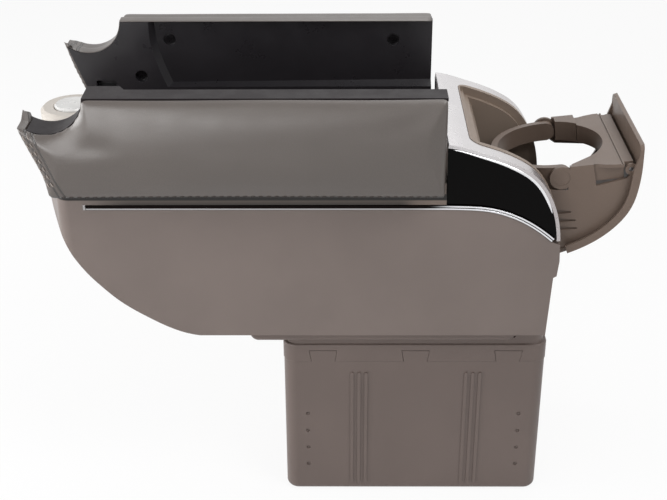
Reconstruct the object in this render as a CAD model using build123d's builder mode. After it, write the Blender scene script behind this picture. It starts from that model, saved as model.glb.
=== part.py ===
import os
from math import cos, hypot, radians, sin, sqrt

from build123d import *

os.makedirs("parts", exist_ok=True)

# Millimetres. X runs along the car with the button end at -X, Y across it, Z up from the foot's underside.

# Driving dimensions
cup_bore = 72.0
body_width = 135.0
wall = 3.0
base_length = 186.0
base_width = 115.0
base_height = 114.0
base_wall = 2.6
plate_thick = 9.0
hinge_inset = 2.9
lid_thick = 24.9
liner_thick = 9.0
recess_depth = 6.2
button_radius = 13.0
bezel_radius = 22.5
door_angle = 71.0
ring_tilt = 6.0
ring_depth = 13.2
trunnion_radius = 5.4
running = 0.05
gap = 0.4

# Levels
collar_top = base_height + 14
floor = base_height + 28
shell_top = floor + 108
hinge_z = floor + 118.6
trough_z = hinge_z - hinge_inset - gap
seat_z = hinge_z - gap
lid_top = hinge_z + lid_thick

# Widths from the middle
half = body_width / 2
hinge_y = half - hinge_inset
lid_span = hinge_y - 1.2
inner = half - wall
cover_opening = 54.8
housing_half = 54.6
rebate_half = 50.3
recess_half = 46.5
door_half = 49.5
arm_out = 44.4
arm_in = 42.0
ring_out = cup_bore / 2 + 4.5

# Stations along the car
nose_x = -255.5
shoulder_x = -236.5
button_x = -236.0
lid_front = -233.7
lid_rear = 14.0
frame_rear = 16.6
cover_front = 17.2
cover_edge = 31.8
notch_radius = 24.6
lid_sweep = 15.8
lid_slope = lid_sweep / (hinge_y - 23.4)
plate_front = -116.0
plate_rear = 70.0

# Cup door pivot, ring centre and trunnion, as (x, z)
pivot = (86.5, floor + 58)
ring_centre = (93.0, floor + 115)
tilt = radians(ring_tilt)


def raised(points):
    """Points given as (x, height over the box floor) turned into (x, z)."""
    return [(x, floor + z) for x, z in points]


def shifted(points, distance):
    """A row of points moved sideways, to the left of its direction of travel."""
    moved = []
    last = len(points) - 1
    for i, (x, z) in enumerate(points):
        ax, az = points[max(i - 1, 0)]
        bx, bz = points[min(i + 1, last)]
        size = hypot(bx - ax, bz - az)
        moved.append((x - (bz - az) / size * distance, z + (bx - ax) / size * distance))
    return moved


def opened(points):
    """Points of the closed cup door turned about its pivot into the open pose."""
    c = cos(radians(door_angle))
    s = sin(radians(door_angle))
    turned = []
    for x, z in points:
        dx = x - pivot[0]
        dz = z - pivot[1]
        turned.append((pivot[0] + dx * c + dz * s, pivot[1] - dx * s + dz * c))
    return turned


def on_ring(along, over):
    """A point of the tilted cup ring plane as (x, z)."""
    return (
        ring_centre[0] + along * cos(tilt) - over * sin(tilt),
        ring_centre[1] + along * sin(tilt) + over * cos(tilt),
    )


def lid_plan(free, edge, back):
    """Lid plan as (x, distance from the hinge).

    free insets the notch and the free edge, back the rear end, edge the hinge side and the front.
    """
    span = lid_span - free
    rear = lid_rear - back
    radius = notch_radius + free
    start = lid_front + edge * sqrt(1 + lid_slope**2)
    reach = start - button_x
    a = 1 + lid_slope**2
    b = lid_slope * reach + hinge_y
    c = reach**2 + hinge_y**2 - radius**2
    tip = (b - sqrt(b**2 - a * c)) / a
    corner = button_x + sqrt(radius**2 - (hinge_y - span) ** 2)
    return [
        (button_x, hinge_y - radius),
        (start - lid_slope * tip, tip),
        (start - lid_slope * edge, edge),
        (rear, edge),
        (rear, span),
        (corner, span),
    ]


trunnion = on_ring(1.8, -ring_depth / 2)
lid_plane = Plane((0, -hinge_y, hinge_z), x_dir=(1, 0, 0), z_dir=(0, -1, 0))
ring_plane = Plane(
    (ring_centre[0], 0, ring_centre[1]),
    x_dir=(cos(tilt), 0, sin(tilt)),
    z_dir=(-sin(tilt), 0, cos(tilt)),
)

# Side view curves
bow = raised([
    (-150, 0), (-163.8, 3.6), (-183.9, 14.1), (-203.4, 27.7), (-216, 40.3), (-222.1, 47.3),
    (-228.1, 55.8), (-233.8, 65.7), (-238.5, 75.5), (-244.5, 88), (-249.5, 99), (-253.3, 108),
])
crown = raised([
    (cover_front, 142.8), (27.5, 140.8), (37.1, 137.7), (50.2, 133.4), (63.4, 127.6), (70.4, 123.5),
    (77, 117.9), (84.2, 107.9), (89.8, 94.9), (92.4, 84), (93.6, 73.5),
])
seam = raised([
    (cover_front, 98.4), (32.5, 98.0), (46, 96.6), (58, 93.3), (70, 87.8), (81, 80.5), (88.6, 74.2),
])
seam_start = -222.0
seam_half = 1.8
cover_thick = 2.4

# Foot of the armrest, with dovetail tabs, ribs and dimples
tab_stations = (-65.0, 0.5, 66.0)
rib_stations = (-44.5, -39.5, -34.5, 36.7, 41.7, 46.7)
with BuildPart() as base_box:
    with BuildSketch(Plane.XY):
        RectangleRounded(base_length, base_width, 9)
    extrude(amount=base_height)
    fillet(base_box.faces().sort_by(Axis.Z)[0].edges(), 4.5)
    with BuildSketch(Plane.XZ):
        for x in tab_stations:
            with BuildLine():
                Polyline(
                    (x - 8, base_height - 1),
                    (x + 8, base_height - 1),
                    (x + 9.7, base_height + 8.8),
                    (x - 9.7, base_height + 8.8),
                    close=True,
                )
            make_face()
    extrude(amount=base_width / 2, both=True)
    with BuildSketch(Plane.XY.offset(base_wall)):
        RectangleRounded(base_length - 2 * base_wall, base_width - 2 * base_wall, 7)
    extrude(amount=base_height + 20, mode=Mode.SUBTRACT)
    with BuildSketch(Plane.XZ):
        with Locations(*[(x, (base_height - 2) / 2) for x in rib_stations]):
            RectangleRounded(2.4, base_height - 16, 1.1)
    extrude(amount=base_width / 2 + 0.9, both=True)
    with BuildSketch(Plane.XY.offset(base_wall)):
        Rectangle(base_length - 2 * base_wall - 16, base_width - 2 * base_wall)
    extrude(amount=base_height - 4, mode=Mode.SUBTRACT)
    for z in (24, 39, 54, 69):
        for x in (-76.5, 76.5):
            for y in (-base_width / 2, base_width / 2):
                with Locations((x, y, z)):
                    Sphere(1.5, mode=Mode.SUBTRACT)
base_box.part.label = "base_box"
export_step(base_box.part, "parts/base_box.step")

# Collar between foot and box
with BuildPart() as base_collar:
    with BuildSketch(Plane.XY.offset(base_height)):
        RectangleRounded(base_length + 0.8, base_width + 0.4, 9)
    extrude(amount=collar_top - base_height)
    fillet(base_collar.faces().sort_by(Axis.Z)[-1].edges(), 1.4)
    with BuildSketch(Plane.XY.offset(collar_top - 1)):
        RectangleRounded(base_length - 4, base_width - 3, 8)
    extrude(amount=floor - collar_top + 1)
    with BuildSketch(Plane.XZ):
        with BuildLine():
            Polyline(
                (plate_rear + 0.2, floor - plate_thick),
                (plate_rear + 0.2, floor + 5),
                (-base_length, floor + 5),
                (-base_length, floor - plate_thick),
                close=True,
            )
        make_face()
    extrude(amount=base_width, both=True, mode=Mode.SUBTRACT)
    with BuildSketch(Plane.XZ):
        for x in tab_stations:
            with BuildLine():
                Polyline(
                    (x - 8.15, base_height - 1),
                    (x + 8.15, base_height - 1),
                    (x + 9.95, base_height + 9.1),
                    (x - 9.95, base_height + 9.1),
                    close=True,
                )
            make_face()
    extrude(amount=base_width, both=True, mode=Mode.SUBTRACT)
    with BuildSketch(Plane.XY.offset(base_height)):
        RectangleRounded(base_length - 2 * base_wall - 1, base_width - 2 * base_wall - 1, 6.5)
    extrude(amount=collar_top - base_height - 3, mode=Mode.SUBTRACT)
base_collar.part.label = "base_collar"
export_step(base_collar.part, "parts/base_collar.step")

# Plate under the box and its screws
screw_spots = [(plate_front + 12, -42), (plate_front + 12, 0), (plate_front + 12, 42)]
with BuildPart() as foot_plate:
    with BuildSketch(Plane.XZ):
        with BuildLine():
            Polyline(
                (plate_front, floor),
                (plate_front, floor - plate_thick),
                (plate_rear, floor - plate_thick),
                (plate_rear, floor),
                close=True,
            )
        make_face()
    extrude(amount=62, both=True)
    fillet(foot_plate.faces().sort_by(Axis.Z)[0].edges().filter_by(Axis.Y), 6)
    fillet(foot_plate.edges().filter_by(Axis.Z), 4)
    with BuildSketch(Plane.XY.offset(floor - plate_thick)):
        with Locations(*screw_spots):
            Circle(4.2)
    extrude(amount=3, mode=Mode.SUBTRACT)
foot_plate.part.label = "foot_plate"
export_step(foot_plate.part, "parts/foot_plate.step")

with BuildPart() as plate_screws:
    with BuildSketch(Plane.XY.offset(floor - plate_thick + 0.6)):
        with Locations(*screw_spots):
            Circle(3.6)
    extrude(amount=2.4)
    with BuildSketch(Plane.XY.offset(floor - plate_thick + 0.6)):
        with Locations(*screw_spots):
            Rectangle(4.6, 1.0)
            Rectangle(1.0, 4.6)
    extrude(amount=1.1, mode=Mode.SUBTRACT)
plate_screws.part.label = "plate_screws"
export_step(plate_screws.part, "parts/plate_screws.step")

# Storage box: side view carried across, trimmed to the bowed plan, then hollowed
with BuildPart() as bin_core:
    with BuildSketch(Plane.XZ):
        core = shifted(bow, -wall)
        with BuildLine():
            Spline(*core)
            Polyline(
                core[-1], (core[-1][0], shell_top + 20), (12, shell_top + 20), (12, floor + wall), core[0]
            )
        make_face()
    extrude(amount=inner, both=True)
    with BuildSketch(Plane.XY):
        with BuildLine():
            ThreePointArc((shoulder_x + wall, -inner), (nose_x + wall, 0), (shoulder_x + wall, inner))
            Polyline((shoulder_x + wall, inner), (20, inner), (20, -inner), (shoulder_x + wall, -inner))
        make_face()
    extrude(amount=shell_top + 50, mode=Mode.INTERSECT)
    fillet(bin_core.edges().filter_by(Axis.Z), 7)

lower_edge = shifted(seam, -seam_half - 0.1)
with BuildPart() as body_shell:
    with BuildSketch(Plane.XZ):
        with BuildLine():
            Spline(*bow)
            Polyline(
                bow[-1], (cover_front - 0.2, shell_top), (cover_front - 0.2, lower_edge[0][1]), lower_edge[0]
            )
            Spline(*lower_edge)
            stern = raised([(93.7, 70.5), (94.3, 58), (93.2, 46.6), (91, 45.4), (88.9, 0)])
            Polyline(lower_edge[-1], *stern, bow[0])
        make_face()
    extrude(amount=half, both=True)
    with BuildSketch(Plane.XY):
        with BuildLine():
            ThreePointArc((shoulder_x, -half), (nose_x, 0), (shoulder_x, half))
            Polyline((shoulder_x, half), (120, half), (120, -half), (shoulder_x, -half))
        make_face()
    extrude(amount=shell_top + 50, mode=Mode.INTERSECT)
    uprights = body_shell.edges().filter_by(Axis.Z)
    fillet(uprights.filter_by_position(Axis.X, shoulder_x - 1, shoulder_x + 1), 10)
    add(bin_core.part, mode=Mode.SUBTRACT)
    with BuildSketch(Plane.XY.offset(floor + wall)):
        with BuildLine():
            Polyline((16, -inner), (87.4, -inner), (87.4, inner), (16, inner), close=True)
        make_face()
    extrude(amount=150, mode=Mode.SUBTRACT)
    with BuildSketch(Plane.XY.offset(floor + 44.2)):
        with BuildLine():
            Polyline(
                (80, -cover_opening),
                (120, -cover_opening),
                (120, cover_opening),
                (80, cover_opening),
                close=True,
            )
        make_face()
    extrude(amount=150, mode=Mode.SUBTRACT)
    with BuildSketch(Plane.XZ):
        with BuildLine():
            Polyline(
                (seam_start, seam[0][1] - seam_half - 0.1),
                (cover_front, seam[0][1] - seam_half - 0.1),
                (cover_front, seam[0][1] + seam_half + 0.1),
                (seam_start, seam[0][1] + seam_half + 0.1),
                close=True,
            )
        make_face()
    extrude(amount=half + 5, both=True, mode=Mode.SUBTRACT)
    with BuildSketch(Plane.XZ):
        with BuildLine():
            Polyline(
                (seam_start - 1, seam[0][1] - seam_half - 2),
                (cover_front - 0.2, seam[0][1] - seam_half - 2),
                (cover_front - 0.2, seam[0][1] + seam_half + 2),
                (seam_start - 1, seam[0][1] + seam_half + 2),
                close=True,
            )
        make_face()
    extrude(amount=half - 2.1, both=True)
    add(bin_core.part, mode=Mode.SUBTRACT)
    with BuildSketch(Plane.XY.offset(floor + wall)):
        with BuildLine():
            Polyline((16, -inner), (60, -inner), (60, inner), (16, inner), close=True)
        make_face()
    extrude(amount=150, mode=Mode.SUBTRACT)
body_shell.part.label = "body_shell"
export_step(body_shell.part, "parts/body_shell.step")

# Bright strips along the side seams
with BuildPart() as side_chrome_near:
    for low, high, depth in ((-seam_half, seam_half, 2.1), (-1.4, -0.3, 2.7), (0.3, 1.4, 2.7)):
        with BuildSketch(Plane.XZ.offset(half - 2.0)):
            upper = shifted(seam, high)
            under = shifted(seam, low)
            with BuildLine():
                Spline(*upper)
                Line(upper[-1], under[-1])
                Spline(*under)
                Polyline(
                    under[0],
                    (seam_start + seam_half - high + 0.1, under[0][1]),
                    (seam_start + seam_half - high + 0.1, upper[0][1]),
                    upper[0],
                )
            make_face()
        extrude(amount=depth)
side_chrome_near.part.label = "side_chrome_near"
export_step(side_chrome_near.part, "parts/side_chrome_near.step")

with BuildPart() as side_chrome_far:
    mirror(side_chrome_near.part, about=Plane.XZ)
side_chrome_far.part.label = "side_chrome_far"
export_step(side_chrome_far.part, "parts/side_chrome_far.step")

# Satin cover over the rear, with skirts that reach into the box
under_crown = shifted(crown, -cover_thick)
skirt_top = shifted(crown, -1)
skirt_foot = shifted(seam, -8)
skirt_out = inner - 0.1
with BuildPart() as rear_cover:
    with BuildSketch(Plane.XZ):
        with BuildLine():
            Spline(*crown)
            Line(crown[-1], under_crown[-1])
            Spline(*under_crown)
            Line(under_crown[0], crown[0])
        make_face()
    extrude(amount=half, both=True)
    with BuildSketch(Plane.XZ):
        with BuildLine():
            Spline(*skirt_top[1:9])
            Line(skirt_top[8], (86.8, floor + 70))
            Line((86.8, floor + 70), skirt_foot[5])
            Polyline(*skirt_foot[5:0:-1])
            Line(skirt_foot[1], skirt_top[1])
        make_face()
    extrude(amount=skirt_out, both=True)
    with BuildSketch(Plane.XZ):
        with BuildLine():
            Spline(*under_crown)
            Polyline(under_crown[-1], (93, floor + 40), (cover_front - 1, floor + 40), under_crown[0])
        make_face()
    extrude(amount=skirt_out - 2.3, both=True, mode=Mode.SUBTRACT)
    with BuildSketch(Plane.XY):
        with Locations((cover_edge + 60, 0)):
            RectangleRounded(120, 2 * cover_opening, 9)
    extrude(amount=400, mode=Mode.SUBTRACT)
rear_cover.part.label = "rear_cover"
export_step(rear_cover.part, "parts/rear_cover.step")

# Piano-black fins laid on the skirts
with BuildPart() as side_trim_near:
    with BuildSketch(Plane.XZ.offset(skirt_out)):
        fin_top = shifted(crown, -cover_thick - 0.1)
        fin_foot = shifted(seam, seam_half + 0.35)
        with BuildLine():
            Spline(*fin_top)
            Line(fin_top[-1], fin_foot[-1])
            Spline(*fin_foot)
            Line(fin_foot[0], fin_top[0])
        make_face()
    extrude(amount=half - skirt_out - 0.9)
    with BuildSketch(Plane.XZ.offset(half - 0.9)):
        face_top = shifted(crown, -cover_thick - 0.8)
        face_foot = shifted(seam, seam_half + 1.05)
        with BuildLine():
            Spline(*face_top[:-1])
            Line(face_top[-2], face_foot[-2])
            Spline(*face_foot[:-1])
            Line(face_foot[0], face_top[0])
        make_face()
    extrude(amount=0.7)
side_trim_near.part.label = "side_trim_near"
export_step(side_trim_near.part, "parts/side_trim_near.step")

with BuildPart() as side_trim_far:
    mirror(side_trim_near.part, about=Plane.XZ)
side_trim_far.part.label = "side_trim_far"
export_step(side_trim_far.part, "parts/side_trim_far.step")

# Rim of the box: hinge trough, lid seat, hinge ears, lid catches and rear bulkhead
rod_radius = 1.6
ear_front = (lid_front + 0.6, lid_front + 5.2)
ear_rear = (lid_rear - 5.4, lid_rear - 0.8)
seat_half = hinge_y - hinge_inset - 0.5
bin_front = lid_front + 25.7
bin_rear = lid_rear - 6
bin_half = seat_half - 9.2
catch_x = -224.75
catch_y = hinge_y - 16.5
with BuildPart() as top_frame:
    with BuildSketch(Plane.XY.offset(shell_top)):
        with BuildLine():
            ThreePointArc((shoulder_x, -half), (nose_x, 0), (shoulder_x, half))
            Polyline((shoulder_x, half), (frame_rear, half), (frame_rear, -half), (shoulder_x, -half))
        make_face()
    extrude(amount=trough_z - shell_top)
    fillet(top_frame.edges().filter_by(Axis.Z).sort_by(Axis.X)[:2], 10)
    with BuildSketch(Plane.XY.offset(trough_z)):
        with BuildLine():
            ThreePointArc((shoulder_x + 6, -seat_half), (nose_x + 2.5, 0), (shoulder_x + 6, seat_half))
            Polyline(
                (shoulder_x + 6, seat_half),
                (frame_rear, seat_half),
                (frame_rear, -seat_half),
                (shoulder_x + 6, -seat_half),
            )
        make_face()
    extrude(amount=seat_z - trough_z)
    with BuildSketch(Plane.XY.offset(shell_top)):
        with Locations(((bin_front + bin_rear) / 2, 0)):
            RectangleRounded(bin_rear - bin_front, 2 * bin_half, 10)
    extrude(amount=60, mode=Mode.SUBTRACT)
    with BuildSketch(Plane.YZ):
        for y in (-hinge_y, hinge_y):
            with Locations((y, hinge_z)):
                Circle(hinge_inset)
            with Locations((y, (trough_z - 1 + hinge_z) / 2)):
                Rectangle(2 * hinge_inset, hinge_z - trough_z + 1)
    extrude(amount=ear_rear[1])
    with BuildSketch(Plane.YZ):
        for y in (-hinge_y, hinge_y):
            with Locations((y, (trough_z + hinge_z + hinge_inset + 1) / 2)):
                Rectangle(2 * hinge_inset + 0.6, hinge_z + hinge_inset + 1 - trough_z)
    extrude(amount=ear_rear[0], mode=Mode.SUBTRACT)
    with BuildSketch(Plane.YZ.offset(ear_front[0])):
        for y in (-hinge_y, hinge_y):
            with Locations((y, hinge_z)):
                Circle(hinge_inset)
            with Locations((y, (trough_z - 1 + hinge_z) / 2)):
                Rectangle(2 * hinge_inset, hinge_z - trough_z + 1)
    extrude(amount=ear_front[1] - ear_front[0])
    with BuildSketch(Plane.YZ.offset(ear_front[0] - 1)):
        with Locations((-hinge_y, hinge_z), (hinge_y, hinge_z)):
            Circle(rod_radius + 0.01)
    extrude(amount=ear_rear[1] - ear_front[0] + 2, mode=Mode.SUBTRACT)
    with BuildSketch(Plane.XY.offset(seat_z)):
        with Locations((catch_x, -catch_y), (catch_x, catch_y)):
            Rectangle(11, 2.2)
    extrude(amount=6)
    with BuildSketch(Plane.XY.offset(shell_top)):
        with BuildLine():
            Polyline(
                (frame_rear - 1, -seat_half),
                (cover_front + 2.6, -seat_half),
                (cover_front + 2.6, seat_half),
                (frame_rear - 1, seat_half),
                close=True,
            )
        make_face()
    extrude(amount=trough_z - shell_top)
    with BuildSketch(Plane.XY.offset(shell_top)):
        with BuildLine():
            Polyline(
                (cover_front + 0.2, -seat_half),
                (cover_front + 2.6, -seat_half),
                (cover_front + 2.6, seat_half),
                (cover_front + 0.2, seat_half),
                close=True,
            )
        make_face()
    extrude(amount=crown[0][1] - shell_top - cover_thick - 1.0)
top_frame.part.label = "top_frame"
export_step(top_frame.part, "parts/top_frame.step")

# Steel hinge rods
with BuildPart() as hinge_rod_near:
    with BuildSketch(Plane.YZ.offset(ear_front[0] + 0.5)):
        with Locations((-hinge_y, hinge_z)):
            Circle(rod_radius)
    extrude(amount=ear_rear[1] - ear_front[0] - 1)
hinge_rod_near.part.label = "hinge_rod_near"
export_step(hinge_rod_near.part, "parts/hinge_rod_near.step")

with BuildPart() as hinge_rod_far:
    mirror(hinge_rod_near.part, about=Plane.XZ)
hinge_rod_far.part.label = "hinge_rod_far"
export_step(hinge_rod_far.part, "parts/hinge_rod_far.step")

# Lid liners: flange, block, recess with a sloped step, hinge barrel, screw holes and catch slot
thick_screws = [(-198.6, 22.6), (-13.7, 8.2)]
thin_screws = [(-177.0, 48.7), (-14.4, 48.4)]
recess_step = [(-192.5, lid_span + 12), (-191, lid_span - 1), (-190.5, 49), (-186.5, 32), (-180, 14.5)]
wrap_edge = 2.6
flange_thick = 3.2
rim_wall = 2.2
rim_rise = 22.0
with BuildPart() as liner_core:
    with BuildSketch(lid_plane):
        plan = lid_plan(0, 0, 0)
        with BuildLine():
            Polyline(*plan[1:])
            ThreePointArc(plan[-1], plan[0], plan[1])
        make_face()
    extrude(amount=flange_thick)
    with BuildSketch(lid_plane.offset(flange_thick)):
        plan = lid_plan(0, wrap_edge, 0)
        with BuildLine():
            Polyline(*plan[1:])
            ThreePointArc(plan[-1], plan[0], plan[1])
        make_face()
    extrude(amount=liner_thick - flange_thick)
    for depth, ramp in ((0, 0), (recess_depth, 3.6)):
        with BuildSketch(lid_plane.offset(depth)):
            with BuildLine():
                Spline(*[(x + ramp, u + ramp * 0.4) for x, u in recess_step])
                Polyline(
                    (recess_step[-1][0] + ramp, recess_step[-1][1] + ramp * 0.4),
                    (lid_rear + 16, recess_step[-1][1] + ramp),
                    (lid_rear + 16, lid_span + 16),
                    (recess_step[0][0] + ramp, recess_step[0][1] + ramp * 0.4),
                )
            make_face()
    loft(mode=Mode.SUBTRACT)
    with BuildSketch(Plane.YZ.offset(ear_front[1] + gap)):
        with Locations((-hinge_y, hinge_z)):
            Circle(hinge_inset)
    extrude(amount=ear_rear[0] - ear_front[1] - 2 * gap)
    with BuildSketch(Plane.YZ.offset(lid_front - 10)):
        with Locations((-hinge_y, hinge_z)):
            Circle(hinge_inset + gap)
    extrude(amount=ear_front[1] + gap - lid_front + 10, mode=Mode.SUBTRACT)
    with BuildSketch(Plane.YZ.offset(ear_rear[0] - gap)):
        with Locations((-hinge_y, hinge_z)):
            Circle(hinge_inset + gap)
    extrude(amount=20, mode=Mode.SUBTRACT)
    with BuildSketch(Plane.YZ.offset(lid_front - 10)):
        with Locations((-hinge_y, hinge_z)):
            Circle(rod_radius + running)
    extrude(amount=lid_rear - lid_front + 20, mode=Mode.SUBTRACT)
    with BuildSketch(lid_plane):
        with Locations(*thick_screws):
            Circle(4.5)
    extrude(amount=5, mode=Mode.SUBTRACT)
    with BuildSketch(lid_plane):
        with Locations(*thin_screws):
            Circle(4.5)
    extrude(amount=recess_depth + 1.6, mode=Mode.SUBTRACT)
    with BuildSketch(lid_plane):
        with Locations((catch_x, 16.9)):
            RectangleRounded(14.6, 5.0, 0.8)
    extrude(amount=8, mode=Mode.SUBTRACT)

with BuildPart() as lid_liner_near:
    add(liner_core.part)
    with BuildSketch(lid_plane.offset(liner_thick)):
        plan = lid_plan(0, wrap_edge, 0)
        with BuildLine():
            Polyline(*plan[1:])
            ThreePointArc(plan[-1], plan[0], plan[1])
        make_face()
        plan = lid_plan(rim_wall, -3, -3)
        with BuildLine():
            Polyline(*plan[1:])
            ThreePointArc(plan[-1], plan[0], plan[1])
        make_face(mode=Mode.SUBTRACT)
    extrude(amount=rim_rise - liner_thick)
lid_liner_near.part.label = "lid_liner_near"
export_step(lid_liner_near.part, "parts/lid_liner_near.step")

with BuildPart() as lid_liner_far:
    mirror(liner_core.part, about=Plane.XZ)
lid_liner_far.part.label = "lid_liner_far"
export_step(lid_liner_far.part, "parts/lid_liner_far.step")

# Padded covers: foam block with the cover wrapped down over the hinge side and the front
pad_foot = flange_thick + 0.4
with BuildPart() as lid_pad_near:
    with BuildSketch(lid_plane.offset(rim_rise + 0.3)):
        plan = lid_plan(0.2, 0, 0)
        with BuildLine():
            Polyline(*plan[1:])
            ThreePointArc(plan[-1], plan[0], plan[1])
        make_face()
    extrude(amount=lid_thick - rim_rise - 0.3)
    fillet(lid_pad_near.faces().sort_by(Axis.Y)[0].edges(), 1.8)
    with BuildSketch(lid_plane.offset(liner_thick + 0.05)):
        plan = lid_plan(rim_wall + 0.2, 0, 0)
        with BuildLine():
            Polyline(*plan[1:])
            ThreePointArc(plan[-1], plan[0], plan[1])
        make_face()
    extrude(amount=rim_rise + 0.5 - liner_thick - 0.05)
    with BuildSketch(lid_plane.offset(pad_foot)):
        plan = lid_plan(0.2, 0, 0)
        with BuildLine():
            Polyline(*plan[1:])
            ThreePointArc(plan[-1], plan[0], plan[1])
        make_face()
        plan = lid_plan(-4, wrap_edge - 0.1, -4)
        with BuildLine():
            Polyline(*plan[1:])
            ThreePointArc(plan[-1], plan[0], plan[1])
        make_face(mode=Mode.SUBTRACT)
    extrude(amount=rim_rise + 0.5 - pad_foot)
lid_pad_near.part.label = "lid_pad_near"
export_step(lid_pad_near.part, "parts/lid_pad_near.step")

with BuildPart() as pad_core:
    with BuildSketch(lid_plane.offset(liner_thick + 0.05)):
        plan = lid_plan(0, 0, 0)
        with BuildLine():
            Polyline(*plan[1:])
            ThreePointArc(plan[-1], plan[0], plan[1])
        make_face()
    extrude(amount=lid_thick - liner_thick - 0.05)
    fillet(pad_core.faces().sort_by(Axis.Y)[0].edges(), 3.5)
    with BuildSketch(lid_plane.offset(pad_foot)):
        plan = lid_plan(0, 0, 0)
        with BuildLine():
            Polyline(*plan[1:])
            ThreePointArc(plan[-1], plan[0], plan[1])
        make_face()
    extrude(amount=liner_thick + 0.5 - pad_foot)
    with BuildSketch(lid_plane.offset(pad_foot)):
        plan = lid_plan(-4, wrap_edge - 0.1, -4)
        with BuildLine():
            Polyline(*plan[1:])
            ThreePointArc(plan[-1], plan[0], plan[1])
        make_face()
    extrude(amount=liner_thick + 0.05 - pad_foot, mode=Mode.SUBTRACT)

with BuildPart() as lid_pad_far:
    mirror(pad_core.part, about=Plane.XZ)
lid_pad_far.part.label = "lid_pad_far"
export_step(lid_pad_far.part, "parts/lid_pad_far.step")

# Screws sunk in the liners
with BuildPart() as liner_screws_near:
    with BuildSketch(lid_plane.offset(3.4)):
        with Locations(*thick_screws):
            Circle(3.2)
    extrude(amount=1.6)
    with BuildSketch(lid_plane.offset(3.4)):
        with Locations(*thick_screws):
            Rectangle(4, 0.9)
            Rectangle(0.9, 4)
    extrude(amount=0.9, mode=Mode.SUBTRACT)
    with BuildSketch(lid_plane.offset(recess_depth + 0.2)):
        with Locations(*thin_screws):
            Circle(3.2)
    extrude(amount=1.4)
    with BuildSketch(lid_plane.offset(recess_depth + 0.2)):
        with Locations(*thin_screws):
            Rectangle(4, 0.9)
            Rectangle(0.9, 4)
    extrude(amount=0.8, mode=Mode.SUBTRACT)
liner_screws_near.part.label = "liner_screws_near"
export_step(liner_screws_near.part, "parts/liner_screws_near.step")

with BuildPart() as liner_screws_far:
    mirror(liner_screws_near.part, about=Plane.XZ)
liner_screws_far.part.label = "liner_screws_far"
export_step(liner_screws_far.part, "parts/liner_screws_far.step")

# Round button post, push button and its coil
bezel_top = lid_top + 0.6
bore_floor = seat_z + 4
cap_top = bezel_top + 1.6
cap_thick = 4.0
with BuildPart() as button_bezel:
    with BuildSketch(Plane.XZ):
        with BuildLine():
            Polyline(
                (button_x, seat_z),
                (button_x + 16.5, seat_z),
                (button_x + 16.5, bezel_top - 14),
                (button_x + bezel_radius, bezel_top - 8),
                (button_x + bezel_radius, bezel_top - 2),
                (button_x + bezel_radius - 2, bezel_top),
                (button_x + button_radius + 1.2, bezel_top),
                (button_x + button_radius + 0.3, bezel_top - 0.9),
                (button_x + button_radius + 0.3, bore_floor),
                (button_x, bore_floor),
                close=True,
            )
        make_face()
    revolve(axis=Axis((button_x, 0, 0), (0, 0, 1)))
button_bezel.part.label = "button_bezel"
export_step(button_bezel.part, "parts/button_bezel.step")

with BuildPart() as button_cap:
    with BuildSketch(Plane.XZ):
        with BuildLine():
            Polyline(
                (button_x, bore_floor + 4.5),
                (button_x + 5, bore_floor + 4.5),
                (button_x + 5, cap_top - cap_thick),
                (button_x + button_radius, cap_top - cap_thick),
                (button_x + button_radius, cap_top - 1),
                (button_x + button_radius - 1, cap_top),
                (button_x + button_radius - 4, cap_top - 0.5),
                (button_x, cap_top - 0.9),
                close=True,
            )
        make_face()
    revolve(axis=Axis((button_x, 0, 0), (0, 0, 1)))
button_cap.part.label = "button_cap"
export_step(button_cap.part, "parts/button_cap.step")

coil_height = cap_top - cap_thick - bore_floor - 1.6
with BuildPart() as button_spring:
    with BuildLine() as coil:
        Helix(pitch=coil_height / 4, height=coil_height, radius=8.5, center=(button_x, 0, bore_floor + 0.8))
    with BuildSketch(Plane(coil.line @ 0, z_dir=coil.line % 0)):
        Circle(0.6)
    sweep(path=coil.line, is_frenet=True)
button_spring.part.label = "button_spring"
export_step(button_spring.part, "parts/button_spring.step")

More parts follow.
